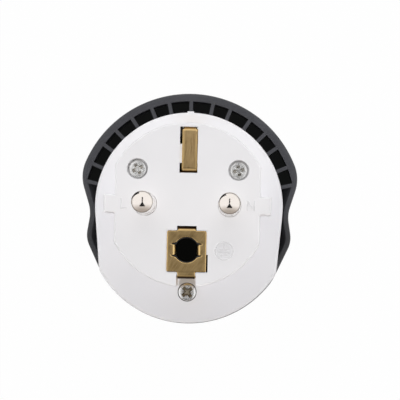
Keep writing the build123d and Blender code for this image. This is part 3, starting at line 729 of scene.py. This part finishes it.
legLine = upperStrip["leg"] + halfSheet
tailLine = upperStrip["tail"] - halfSheet
legEnd, tailEnd, rivet = blankEnds(legLine, tailLine)
left, right = (upperStrip["middle"] + side * upperStrip["width"] / 2 for side in (-1, 1))
tailLeft, tailRight = (upperStrip["middle"] + side * upperStrip["tailWidth"] / 2 for side in (-1, 1))
shoulder = upperStrip["shoulder"]
stripOutline = [(left, legEnd), (right, legEnd), (right, shoulder), (tailRight, shoulder)]
stripOutline += [(tailRight, tailEnd), (tailLeft, tailEnd), (tailLeft, shoulder), (left, shoulder)]
strip = clipMesh(
    "upperStrip",
    [
        roundedLoop(stripOutline, upperStrip["corner"]),
        rivetHole(rivet),
    ],
    legLine,
    tailLine,
    True,
)
addPiece("upperEarthClip", finishSheet(strip, faceLine), [stripBrass, rimHighlightBrass], "brass", "upper_earth_clip")

legLine = lowerPlate["leg"] - halfSheet
tailLine = lowerPlate["tail"] + halfSheet
legEnd, tailEnd, rivet = blankEnds(legLine, tailLine)
tab = lowerPlate["tab"] / 2
half = lowerPlate["width"] / 2
plateOutline = roundedLoop(
    [
        (-tab, tailEnd),
        (tab, tailEnd),
        (tab, lowerPlate["bottom"]),
        (half, lowerPlate["bottom"]),
        (half, lowerPlate["top"]),
        (tab, lowerPlate["top"]),
        (tab, legEnd),
        (-tab, legEnd),
        (-tab, lowerPlate["top"]),
        (-half, lowerPlate["top"]),
        (-half, lowerPlate["bottom"]),
        (-tab, lowerPlate["bottom"]),
    ],
    lowerPlate["corner"],
)


def holeOutline():
    # Round hole with a flap on each side, cut free above and below by a slit
    flapEnd = lowerPlate["lipFold"] - lowerPlate["lipBend"] * math.radians(lowerPlate["lipLean"])
    flapEnd -= lowerPlate["lipDrop"]
    flapHalf = lowerPlate["lipHeight"] / 2
    slitHalf = flapHalf + lowerPlate["slit"]
    start = math.degrees(math.asin(slitHalf / lowerPlate["hole"]))
    root = lowerPlate["lipFold"] + lowerPlate["slitPast"]
    slitEnd = flapHalf + lowerPlate["slitEnd"]
    points = arcPoints((0, 0), lowerPlate["hole"], start, 180 - start, lowerPlate["holeSteps"])
    points += [(-root, slitEnd), (-root, flapHalf), (-flapEnd, flapHalf)]
    points += [(-flapEnd, -flapHalf), (-root, -flapHalf), (-root, -slitEnd)]
    points += [(-x, -y) for x, y in points]
    return [(x, y + lowerPlate["holePlace"]) for x, y in reversed(points)]


plate = clipMesh(
    "lowerPlate",
    [plateOutline, holeOutline(), rivetHole(rivet)],
    legLine,
    tailLine,
    False,
)


def onLip(place):
    near = abs(place.y - lowerPlate["holePlace"]) < lowerPlate["lipHeight"] / 2 + clip["edge"]
    return near and abs(place.z) < clip["sheet"]


for side in (1, -1):
    foldSheet(
        plate,
        (side * lowerPlate["lipFold"], 0, 0),
        (-side, 0, 0),
        lowerPlate["lipBend"],
        belongs=lambda place: onLip(place) and place.x * side > 0,
        angle=lowerPlate["lipLean"],
    )
addPiece("lowerEarthClip", finishSheet(plate, faceLine), [plateBrass, rimHighlightBrass], "brass", "lower_earth_clip")
print("earth clips folded")


# Screws: one head, recess and shank, set on every screw place
screw = {
    "headDiameter": 4.2,
    "headHeight": 1.8,
    "shankDiameter": 3.0,
    "recessLength": 2.6,
    "recessWidth": 0.75,
    "recessDepth": 0.6,
    "tickLength": 2.5,
    "tickWidth": 0.16,
    "tickDepth": 0.16,
    "footShare": 0.5,
    "topShare": 1.5,
    "edgeDrop": 0.15,
    "edgePower": 12.0,
    "headSides": 64,
    "headRings": 10,
    "shankSides": 48,
}
screwTree, groupIn, groupOut = newGroup(
    "crossScrews",
    "GeometryNodeTree",
    [
        ("Geometry", "NodeSocketGeometry", None),
        ("Head Diameter", "NodeSocketFloat", screw["headDiameter"] * mm),
        ("Head Height", "NodeSocketFloat", screw["headHeight"] * mm),
        ("Shank Diameter", "NodeSocketFloat", screw["shankDiameter"] * mm),
        ("Recess Length", "NodeSocketFloat", screw["recessLength"] * mm),
        ("Recess Width", "NodeSocketFloat", screw["recessWidth"] * mm),
        ("Recess Depth", "NodeSocketFloat", screw["recessDepth"] * mm),
        ("Edge Drop", "NodeSocketFloat", screw["edgeDrop"] * mm),
        ("Recess Material", "NodeSocketMaterial", None),
        ("Material", "NodeSocketMaterial", None),
    ],
    [("Geometry", "NodeSocketGeometry")],
)


def alongZ(value):
    return addNode(screwTree, "ShaderNodeCombineXYZ", {2: value}).outputs[0]


def pointValue(name):
    node = addNode(screwTree, "GeometryNodeInputNamedAttribute", {"Name": name}, data_type="FLOAT")
    return node.outputs[0]


headRadius = mathOf(screwTree, "MULTIPLY", groupIn["Head Diameter"], 0.5)
shankRadius = mathOf(screwTree, "MULTIPLY", groupIn["Shank Diameter"], 0.5)
headSizes = {
    "Vertices": screw["headSides"],
    "Fill Segments": screw["headRings"],
    "Radius": headRadius,
    "Depth": groupIn["Head Height"],
}
head = addNode(screwTree, "GeometryNodeMeshCylinder", headSizes, fill_type="TRIANGLE_FAN")
headDrop = mathOf(screwTree, "MULTIPLY", groupIn["Head Height"], -0.5)
lowered = addNode(
    screwTree,
    "GeometryNodeTransform",
    {"Geometry": head.outputs["Mesh"], "Translation": alongZ(headDrop)},
)
# The upper edge falls away with a high power of the distance from the middle
place = addNode(screwTree, "GeometryNodeInputPosition").outputs[0]
axes = addNode(screwTree, "ShaderNodeSeparateXYZ", {0: place})
flat = addNode(screwTree, "ShaderNodeCombineXYZ", {0: axes.outputs[0], 1: axes.outputs[1]})
distance = addNode(screwTree, "ShaderNodeVectorMath", {0: flat.outputs[0]}, operation="LENGTH")
share = mathOf(screwTree, "DIVIDE", distance.outputs["Value"], headRadius)
steep = mathOf(screwTree, "POWER", share, screw["edgePower"])
fall = mathOf(screwTree, "MULTIPLY", steep, mathOf(screwTree, "MULTIPLY", groupIn["Edge Drop"], -1.0))
upper = mathOf(screwTree, "GREATER_THAN", axes.outputs[2], headDrop)
domed = addNode(
    screwTree,
    "GeometryNodeSetPosition",
    {"Geometry": lowered.outputs[0], "Selection": upper, "Offset": alongZ(fall)},
)


def taperedBar(length, width, depth, turn):
    # A bar let into the head from above, narrower at its foot
    bothDepths = mathOf(screwTree, "MULTIPLY", depth, 2.0)
    size = addNode(screwTree, "ShaderNodeCombineXYZ", {0: length, 1: width, 2: bothDepths})
    bar = addNode(screwTree, "GeometryNodeMeshCube", {"Size": size.outputs[0]})
    lift = addNode(screwTree, "GeometryNodeInputPosition").outputs[0]
    height = addNode(screwTree, "ShaderNodeSeparateXYZ", {0: lift}).outputs[2]
    depthShare = mathOf(screwTree, "DIVIDE", height, depth)
    narrow = rangeOf(screwTree, depthShare, -1.0, 1.0, screw["footShare"], screw["topShare"])
    scaleBy = addNode(screwTree, "ShaderNodeCombineXYZ", {0: narrow, 1: narrow, 2: 1.0}).outputs[0]
    narrowed = addNode(screwTree, "ShaderNodeVectorMath", {0: lift, 1: scaleBy}, operation="MULTIPLY")
    shaped = addNode(
        screwTree,
        "GeometryNodeSetPosition",
        {"Geometry": bar.outputs["Mesh"], "Position": narrowed.outputs[0]},
    )
    return addNode(
        screwTree,
        "GeometryNodeTransform",
        {"Geometry": shaped.outputs[0], "Rotation": (0, 0, math.radians(turn))},
    ).outputs[0]


cut = addNode(
    screwTree,
    "GeometryNodeSetMaterial",
    {"Geometry": domed.outputs[0], "Material": groupIn["Material"]},
).outputs[0]
tickSizes = (screw["tickLength"] * mm, screw["tickWidth"] * mm, screw["tickDepth"] * mm)
recessSizes = (groupIn["Recess Length"], groupIn["Recess Width"], groupIn["Recess Depth"])
for sizes, turn in ((recessSizes, 0), (recessSizes, 90), (tickSizes, 45), (tickSizes, 135)):
    tool = addNode(
        screwTree,
        "GeometryNodeSetMaterial",
        {"Geometry": taperedBar(*sizes, turn), "Material": groupIn["Recess Material"]},
    ).outputs[0]
    cut = addNode(
        screwTree,
        "GeometryNodeMeshBoolean",
        {"Mesh 1": cut, "Mesh 2": tool},
        operation="DIFFERENCE",
        solver="EXACT",
    ).outputs[0]
heads = addNode(
    screwTree,
    "GeometryNodeInstanceOnPoints",
    {"Points": groupIn["Geometry"], "Instance": cut, "Rotation": alongZ(pointValue("turn"))},
)
shank = addNode(
    screwTree,
    "GeometryNodeMeshCylinder",
    {"Vertices": screw["shankSides"], "Radius": shankRadius, "Depth": 1.0},
    fill_type="NGON",
)
shankDown = addNode(
    screwTree,
    "GeometryNodeTransform",
    {"Geometry": shank.outputs["Mesh"], "Translation": (0, 0, -0.5)},
)
shankScale = addNode(screwTree, "ShaderNodeCombineXYZ", {0: 1.0, 1: 1.0, 2: pointValue("shank")})
shanks = addNode(
    screwTree,
    "GeometryNodeInstanceOnPoints",
    {"Points": groupIn["Geometry"], "Instance": shankDown.outputs[0], "Scale": shankScale.outputs[0]},
)
seatDrop = mathOf(screwTree, "MULTIPLY", groupIn["Head Height"], -1.0)
seated = addNode(
    screwTree,
    "GeometryNodeTranslateInstances",
    {"Instances": shanks.outputs[0], "Translation": alongZ(seatDrop), "Local Space": False},
)
joined = addNode(screwTree, "GeometryNodeJoinGeometry")
screwTree.links.new(heads.outputs[0], joined.inputs[0])
screwTree.links.new(seated.outputs[0], joined.inputs[0])
real = addNode(screwTree, "GeometryNodeRealizeInstances", {"Geometry": joined.outputs[0]})
inRecess = addNode(screwTree, "GeometryNodeMaterialSelection", {"Material": groupIn["Recess Material"]})
outside = addNode(screwTree, "FunctionNodeBooleanMath", {0: inRecess.outputs[0]}, operation="NOT")
painted = addNode(
    screwTree,
    "GeometryNodeSetMaterial",
    {"Geometry": real.outputs[0], "Selection": outside.outputs[0], "Material": groupIn["Material"]},
)
screwTree.links.new(painted.outputs[0], groupOut["Geometry"])
screwInputs = [item for item in screwTree.interface.items_tree if item.in_out == "INPUT"]
screwSockets = {item.name: item.identifier for item in screwInputs}


def screwMesh(name, places, turns, recess, sizes):
    points = bpy.data.meshes.new(name)
    points.from_pydata([(x * mm, y * mm, z * mm) for x, y, z, length in places], [], [])
    pointValues = {
        "turn": [math.radians(turn) for turn in turns],
        "shank": [length * mm for x, y, z, length in places],
    }
    for valueName, numbers in pointValues.items():
        points.attributes.new(valueName, "FLOAT", "POINT").data.foreach_set("value", numbers)
    holder = bpy.data.objects.new(name, points)
    scene.collection.objects.link(holder)
    modifier = holder.modifiers.new("screws", "NODES")
    modifier.node_group = screwTree
    modifier[screwSockets["Material"]] = zinc
    modifier[screwSockets["Recess Material"]] = recess
    for socketName, size in sizes.items():
        modifier[screwSockets[socketName]] = size * mm
    graph = bpy.context.evaluated_depsgraph_get()
    mesh = bpy.data.meshes.new_from_object(holder.evaluated_get(graph))
    holder.modifiers.remove(modifier)
    bpy.data.objects.remove(holder)
    return mesh


# Where the screws stand and how they are turned, with the sizes that differ from the group's own
faceScrews = {"top": 49.2, "shank": 25.0, "turns": (28, 12), "sizes": {}}
chinScrew = {
    "top": 32.9,
    "shank": 16.0,
    "turns": (40,),
    "sizes": {"Recess Length": 2.9, "Recess Width": 0.85},
}
low, high = (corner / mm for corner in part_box("face_screws"))
reach = high.x - screw["headDiameter"] / 2
across = (low.y + high.y) / 2
facePlaces = [(side * reach, across, faceScrews["top"], faceScrews["shank"]) for side in (-1, 1)]
faceMesh = screwMesh("faceScrews", facePlaces, faceScrews["turns"], zincRecess, faceScrews["sizes"])
addPiece("faceScrews", faceMesh, [], "screw_steel", "face_screws")
low, high = (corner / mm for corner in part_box("chin_screw"))
chinPlace = ((low.x + high.x) / 2, (low.y + high.y) / 2, chinScrew["top"], chinScrew["shank"])
chinMesh = screwMesh("chinScrew", [chinPlace], chinScrew["turns"], brownRecess, chinScrew["sizes"])
addPiece("chinScrew", chinMesh, [], "screw_steel", "chin_screw")
print("screws set")


# Raised terminal marks on the face
mark = {
    "height": 0.26,
    "edge": 0.05,
    "faceLevel": 50.5,
    "livePlace": (-14.35, 0.0),
    "neutralPlace": (14.25, 0.0),
    "earthPlace": (8.45, -10.25),
    "letterL": [(-0.75, -1.2), (0.75, -1.2), (0.75, -0.88), (-0.42, -0.88), (-0.42, 1.2), (-0.75, 1.2)],
    # The other half of the N is this half turned round
    "halfN": [(-0.97, -1.15), (-0.65, -1.15), (-0.65, 0.62), (0.58, -1.15), (0.97, -1.15)],
    "ringOuter": 2.15,
    "ringInner": 1.87,
    "ringSteps": 48,
    # Stem and bars of the earth sign: left, low, right, high
    "earthBars": [
        (-0.14, 0.42, 0.14, 1.6),
        (-1.5, 0.12, 1.5, 0.4),
        (-1.25, -0.52, 1.25, -0.24),
        (-0.75, -1.16, 0.75, -0.88),
    ],
}


def markPiece(name, outlines, spot):
    moved = [[(x + spot[0], y + spot[1]) for x, y in outline] for outline in outlines]
    blank = cutBlank(name, moved, mark["height"], mark["edge"])
    mesh = finishSheet(blank, mark["faceLevel"] + mark["height"] / 2)
    addPiece(name, mesh, [shadedMarkPlastic], "white_plastic")


markPiece("liveMark", [mark["letterL"]], mark["livePlace"])
letterN = mark["halfN"] + [(-x, -y) for x, y in mark["halfN"]]
markPiece("neutralMark", [letterN], mark["neutralPlace"])
earthSign = [
    arcPoints((0, 0), mark["ringOuter"], 0, 360, mark["ringSteps"])[:-1],
    arcPoints((0, 0), mark["ringInner"], 360, 0, mark["ringSteps"])[:-1],
]
for left, low, right, high in mark["earthBars"]:
    earthSign.append([(left, low), (right, low), (right, high), (left, high)])
markPiece("earthMark", earthSign, mark["earthPlace"])
print("marks raised")


# Stage: pale floor, soft sky, two lamps, and dark cards for the metal to mirror
def lookAt(place, aim, up):
    forward = (Vector(aim) - Vector(place)).normalized()
    right = forward.cross(Vector(up)).normalized()
    rise = right.cross(forward)
    turn = Matrix((right, rise, -forward)).transposed()
    return Matrix.Translation(Vector(place)) @ turn.to_4x4()


floorLook = {
    "half": 2.0,
    "drop": 0.02 * mm,
    "tone": (0.86, 0.86, 0.86, 1),
    "patchTone": (0.84, 0.84, 0.84, 1),
    "patchSize": 120 * mm,
    "rough": 0.9,
    "specular": 0.1,
    "white": 0.975,
}
half = floorLook["half"]
floorCorners = [(-half, -half, 0), (half, -half, 0), (half, half, 0), (-half, half, 0)]
floorMesh = bpy.data.meshes.new("floor")
floorMesh.from_pydata(floorCorners, [], [(0, 1, 2, 3)])
floor = bpy.data.objects.new("floor", floorMesh)
floor.location.z = -floorLook["drop"]
scene.collection.objects.link(floor)


def patchyMaterial(name, look):
    # A plain material with large pale and dark patches, for what stands round the part
    material, tree, shader, place = startMaterial(name)
    sizes = {"Vector": place, "Patch Size": look["patchSize"]}
    skin = addNode(tree, "ShaderNodeGroup", sizes, node_tree=mouldedGrain).outputs
    tone = mixColour(tree, skin["Patch"], look["tone"], look["patchTone"])
    tree.links.new(tone, shader.inputs["Base Color"])
    shader.inputs["Roughness"].default_value = look["rough"]
    shader.inputs["Specular IOR Level"].default_value = look["specular"]
    return material, tree, shader


# Rays from the camera and from mirrors see the floor as white
floorMaterial, tree, shader = patchyMaterial("paleFloor", floorLook)
glow = addNode(tree, "ShaderNodeEmission", {"Color": (1, 1, 1, 1), "Strength": 1.0})
ray = addNode(tree, "ShaderNodeLightPath")
seen = mathOf(tree, "MAXIMUM", ray.outputs["Is Camera Ray"], ray.outputs["Is Glossy Ray"])
seen = mathOf(tree, "MAXIMUM", seen, ray.outputs["Is Transmission Ray"])
seen = mathOf(tree, "MULTIPLY", seen, floorLook["white"])
floorMix = addNode(tree, "ShaderNodeMixShader", {0: seen, 1: shader.outputs[0], 2: glow.outputs[0]})
output = next(node for node in tree.nodes if node.type == "OUTPUT_MATERIAL")
tree.links.new(floorMix.outputs[0], output.inputs["Surface"])
floorMesh.materials.append(floorMaterial)

# Mirrors see a sky that is dark at the horizon and towards the chin's side; matt surfaces see a dim one
# that is brighter low down, which fills their edges
skyLook = {
    "chinSide": (-0.95, -0.15),
    "chinTone": 0.44,
    "crownTone": 1.0,
    "horizon": (0.02, 0.24),
    "horizonTone": 0.2,
    "mattSpan": (0.0, 0.5),
    "mattLow": 2.5,
    "mattHigh": 0.06,
    "warm": (1.0, 0.86, 0.74, 1),
    "white": (1.0, 0.995, 1.0, 1),
}
world = bpy.data.worlds.new("softSky")
scene.world = world
world.use_nodes = True
tree = world.node_tree
tree.nodes.clear()
direction = addNode(tree, "ShaderNodeTexCoord").outputs["Generated"]
heading = addNode(tree, "ShaderNodeSeparateXYZ", {0: direction}).outputs


def skyRange(tree, value, span, low, high):
    return rangeOf(tree, value, *span, low, high, "SMOOTHSTEP")


sky = skyRange(tree, heading[1], skyLook["chinSide"], skyLook["chinTone"], skyLook["crownTone"])
horizon = skyRange(tree, heading[2], skyLook["horizon"], skyLook["horizonTone"], 1.0)
mirrorSky = mathOf(tree, "MULTIPLY", sky, horizon)
mattSky = skyRange(tree, heading[2], skyLook["mattSpan"], skyLook["mattLow"], skyLook["mattHigh"])
ray = addNode(tree, "ShaderNodeLightPath")
mirrored = mathOf(tree, "MAXIMUM", ray.outputs["Is Glossy Ray"], ray.outputs["Is Transmission Ray"])
skies = {0: mirrored, 2: mattSky, 3: mirrorSky}
strength = addNode(tree, "ShaderNodeMix", skies, data_type="FLOAT").outputs[0]
strength = mathOf(tree, "MAXIMUM", strength, ray.outputs["Is Camera Ray"])
skyTone = mixColour(tree, sky, skyLook["warm"], skyLook["white"])
background = addNode(tree, "ShaderNodeBackground", {"Color": skyTone, "Strength": strength})
addNode(tree, "ShaderNodeOutputWorld", {"Surface": background.outputs[0]})

# The front lamp is near, so that the flange, which lies further off than the face, turns out darker
lampAim = (0, 0, 0.04)
lamps = {
    "frontLamp": {"place": (0.0096, -0.0116, 0.545), "size": 0.006, "power": 1.54},
    "topLamp": {"place": (0, 1.3, 1.1), "size": 1.8, "power": 4.8},
}
for lampName, lampLook in lamps.items():
    lampData = bpy.data.lights.new(lampName, "AREA")
    lampData.shape = "DISK"
    lampData.size = lampLook["size"]
    lampData.energy = lampLook["power"]
    lamp = bpy.data.objects.new(lampName, lampData)
    lamp.matrix_world = lookAt(lampLook["place"], lampAim, (0, 1, 0))
    lamp.visible_glossy = False
    lamp.visible_camera = False
    scene.collection.objects.link(lamp)

# Dark cards that only mirrors see: a wedge below the camera, a stand above it and one at the side
cardLook = {
    "tone": (0.02, 0.02, 0.022, 1),
    "patchTone": (0.03, 0.03, 0.032, 1),
    "patchSize": 60 * mm,
    "rough": 1.0,
    "specular": 0.0,
}
cardCorners = {
    "cameraCard": [(0, 0.02, 0.58), (-0.25, -0.36, 0.58), (0.25, -0.36, 0.58)],
    "standCard": [(-0.036, 0.0, 0.59), (0.036, 0.0, 0.59), (0.05, 0.38, 0.59), (-0.05, 0.38, 0.59)],
    "sideCard": [(-0.187, 0.464, 0.0), (-0.489, 0.104, 0.0), (-0.489, 0.104, 0.1), (-0.187, 0.464, 0.25)],
}
cardMaterial = patchyMaterial("darkCard", cardLook)[0]
for cardName, corners in cardCorners.items():
    cardMesh = bpy.data.meshes.new(cardName)
    cardMesh.from_pydata(corners, [], [tuple(range(len(corners)))])
    cardMesh.materials.append(cardMaterial)
    card = bpy.data.objects.new(cardName, cardMesh)
    scene.collection.objects.link(card)
    card.visible_camera = False
    card.visible_diffuse = False
    card.visible_shadow = False
    card.visible_transmission = False

view = {
    "place": (9.59, -11.606, 542.222),
    "aim": (2.813, 1.078, 50.5),
    "up": (-0.02, 0.9998, 0),
    "lens": 197.0,
    "sensor": 36,
    "nearest": 0.01,
}
cameraData = bpy.data.cameras.new("camera")
cameraData.lens = view["lens"]
cameraData.sensor_width = view["sensor"]
cameraData.clip_start = view["nearest"]
camera = bpy.data.objects.new("camera", cameraData)
camera.matrix_world = lookAt(Vector(view["place"]) * mm, Vector(view["aim"]) * mm, view["up"])
scene.collection.objects.link(camera)
scene.camera = camera
print("stage set")
